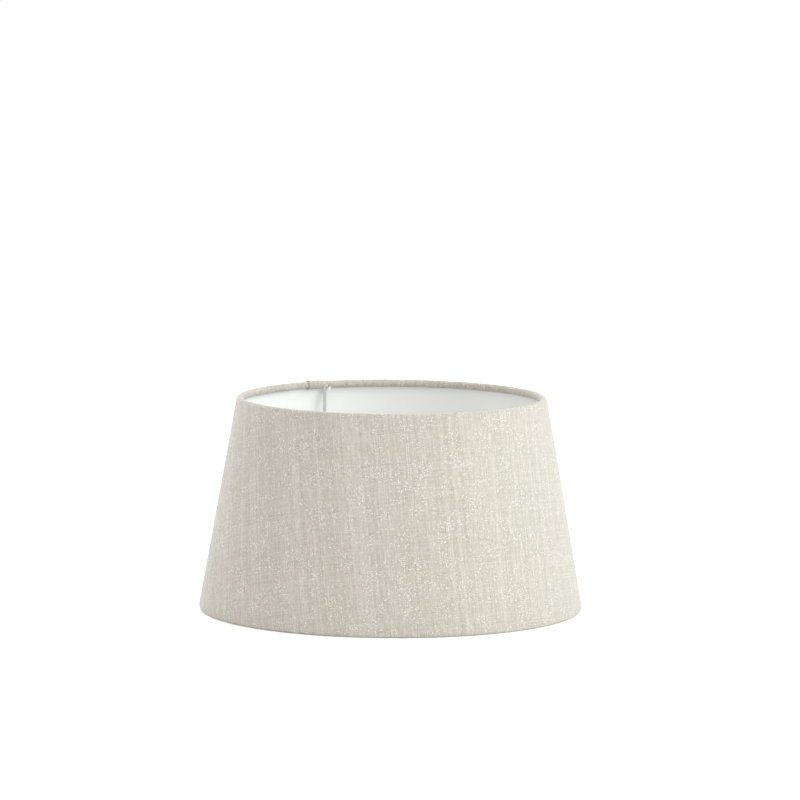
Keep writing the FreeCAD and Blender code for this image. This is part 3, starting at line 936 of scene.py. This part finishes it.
class SHADE_OT_welds(bpy.types.Operator):
    """Put the weld beads where the arms meet the hub ring and the top ring"""

    bl_idname = "shade.welds"
    bl_label = "Weld Beads"

    def execute(self, context):
        sizes = context.scene.shade_sizes
        hub_low, hub_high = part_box("hub_ring")
        ring_r, ring_z, ring_wire = ring_measures("top_ring")
        for number, turn in enumerate(arm_directions(sizes)):
            out = Vector((math.cos(turn), math.sin(turn), 0))
            rim = out * (hub_high.x - 1.6 * MM) + Vector((0, 0, hub_low.z - 0.1 * MM))
            at_hub = lump(f"hub_weld_{number + 1}", rim, HUB_BEAD, turn, 0.1 * MM)
            top = out * (ring_r - 0.4 * MM) + Vector((0, 0, ring_z - ring_wire - 0.1 * MM))
            at_ring = lump(f"ring_weld_{number + 1}", top, RING_BEAD, turn)
            for bead in (at_hub, at_ring):
                dress(bead, "Zinc plate")
                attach(bead, "root")
        return {"FINISHED"}


# ---------------------------------------------------------------- loose threads at the slits

def loose_thread(start, way, length, droop):
    """One pulled thread: a small ring of points, extruded and bent in short steps."""
    bpy.ops.object.select_all(action="DESELECT")
    bpy.ops.mesh.primitive_circle_add(vertices=6, radius=THREAD_RADIUS, fill_type="NGON", location=(0, 0, 0))
    thread = bpy.context.object
    bpy.ops.object.mode_set(mode="EDIT")
    bpy.ops.mesh.select_all(action="SELECT")
    steps = 6
    for _ in range(steps):
        bpy.ops.mesh.extrude_region_move(TRANSFORM_OT_translate={"value": way * (length / steps)})
        bpy.ops.transform.resize(value=(0.86, 0.86, 0.86))
        way = (way + Vector((0.16, -0.1, 1.0)) * droop).normalized()
    bpy.ops.mesh.select_all(action="SELECT")
    bpy.ops.mesh.normals_make_consistent(inside=False)
    bpy.ops.object.mode_set(mode="OBJECT")
    thread.location = start
    bpy.ops.object.transform_apply(location=True, rotation=True, scale=True)
    bpy.ops.object.shade_smooth_by_angle(angle=math.radians(60))
    return thread


class SHADE_OT_slit_threads(bpy.types.Operator):
    """Leave a few pulled threads at each arm slit, as a cut in linen does"""

    bl_idname = "shade.slit_threads"
    bl_label = "Slit Threads"

    def execute(self, context):
        sizes = context.scene.shade_sizes
        ring_r, ring_z, _ = ring_measures("top_ring")
        # direction from the arm, height from the wire's middle and length in mm, and droop
        pattern = (
            (-0.024, -2.2, 2.9, 0.04), (-0.0265, -2.3, 3.9, -0.06), (-0.029, -2.0, 4.3, -0.10),
            (-0.0315, -2.1, 3.8, 0.03), (-0.034, -1.9, 3.2, -0.14), (-0.037, -1.6, 2.3, -0.22),
        )
        for number, arm in enumerate(arm_directions(sizes)):
            threads = []
            for away, below, length, droop in pattern:
                turn = arm + away
                out = Vector((math.cos(turn), math.sin(turn), 0))
                start = out * (ring_r - 2.2 * MM) + Vector((0, 0, ring_z + below * MM))
                way = (Vector((0, 0, -1)) - out * 0.25).normalized()
                threads.append(loose_thread(start, way, length * MM, droop))
            bpy.ops.object.select_all(action="DESELECT")
            for thread in threads:
                thread.select_set(True)
            context.view_layer.objects.active = threads[0]
            bpy.ops.object.join()
            tuft = context.object
            tuft.name = tuft.data.name = f"slit_threads_{number + 1}"
            dress(tuft, "Pulled thread")
            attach(tuft, "root")
        return {"FINISHED"}


# ---------------------------------------------------------------- studio

class SHADE_OT_studio(bpy.types.Operator):
    """Set up the pale floor, the soft lights and the camera"""

    bl_idname = "shade.studio"
    bl_label = "Studio"

    def execute(self, context):
        scene = context.scene
        studio = scene.shade_studio
        bpy.ops.object.select_all(action="DESELECT")
        bpy.ops.mesh.primitive_circle_add(
            vertices=96, radius=FLOOR_RADIUS, fill_type="NGON", location=(0, 0, 0)
        )
        floor = context.object
        floor.name = "floor"
        dress(floor, "Pale floor")
        world = bpy.data.worlds.new("Even surround")
        world.use_nodes = True
        background = world.node_tree.nodes["Background"]
        background.inputs["Color"].default_value = SURROUND_COLOUR
        background.inputs["Strength"].default_value = studio.sky
        scene.world = world
        add_light("key", KEY_PLACE, KEY_SIZE, studio.key)
        add_light("rim", RIM_PLACE, RIM_SIZE, studio.rim)
        scene.view_settings.view_transform = "Standard"
        aim_camera(scene, studio)
        return {"FINISHED"}


def add_light(name, place, size, power):
    data = bpy.data.lights.new(name, "AREA")
    data.shape = "DISK"
    data.size = size
    data.energy = power
    data.color = LIGHT_COLOUR
    light = bpy.data.objects.new(name, data)
    light.location = place
    aim = Vector((0, 0, CAD_BOX[1].z / 2)) - light.location
    light.rotation_euler = aim.to_track_quat("-Z", "Y").to_euler()
    bpy.context.scene.collection.objects.link(light)


def aim_camera(scene, studio):
    data = bpy.data.cameras.new("camera")
    data.lens = studio.lens
    data.sensor_width = 36.0
    data.clip_end = 500.0
    camera = bpy.data.objects.new("camera", data)
    scene.collection.objects.link(camera)
    middle = (ring_measures("top_ring")[1] + ring_measures("bottom_ring")[1]) / 2
    height = middle + studio.distance * math.sin(studio.elevation)
    place = Vector((0, -studio.distance * math.cos(studio.elevation), height))
    down = studio.elevation - studio.tilt
    ahead = Vector((0, math.cos(down), -math.sin(down)))
    up = Vector((0, math.sin(down), math.cos(down)))
    right = Vector((1, 0, 0))
    ahead, right = (
        ahead * math.cos(studio.pan) + right * math.sin(studio.pan),
        right * math.cos(studio.pan) - ahead * math.sin(studio.pan),
    )
    level = right * math.cos(studio.roll) + up * math.sin(studio.roll)
    upright = up * math.cos(studio.roll) - right * math.sin(studio.roll)
    turn = Matrix((level, upright, -ahead)).transposed()
    camera.matrix_world = Matrix.Translation(place) @ turn.to_4x4()
    scene.camera = camera


# ---------------------------------------------------------------- panel and registration

STEPS = (
    SHADE_OT_studio,
    SHADE_OT_linen_cover,
    SHADE_OT_lining,
    SHADE_OT_ring_tapes,
    SHADE_OT_wire_finish,
    SHADE_OT_welds,
    SHADE_OT_slit_threads,
)


class SHADE_PT_panel(bpy.types.Panel):
    """Lists the shade's pieces"""

    bl_label = "Lamp Shade"
    bl_idname = "SHADE_PT_panel"
    bl_space_type = "VIEW_3D"
    bl_region_type = "UI"
    bl_category = "Lamp Shade"

    def draw(self, context):
        for step in STEPS:
            self.layout.operator(step.bl_idname)


GROUPS = (("shade_sizes", ShadeSizes), ("shade_finishes", ShadeFinishes), ("shade_studio", StudioSettings))


def register():
    for cls in [group for _, group in GROUPS] + list(STEPS) + [SHADE_PT_panel]:
        bpy.utils.register_class(cls)
    for name, group in GROUPS:
        setattr(bpy.types.Scene, name, PointerProperty(type=group))


def unregister():
    for name, _ in GROUPS:
        delattr(bpy.types.Scene, name)
    for cls in [SHADE_PT_panel] + list(STEPS)[::-1] + [group for _, group in GROUPS]:
        bpy.utils.unregister_class(cls)


def main():
    register()
    bpy.ops.shade.studio()
    bpy.ops.shade.linen_cover()
    bpy.ops.shade.lining()
    bpy.ops.shade.ring_tapes()
    bpy.ops.shade.wire_finish()
    bpy.ops.shade.welds()
    bpy.ops.shade.slit_threads()


if __name__ == "__main__":
    main()
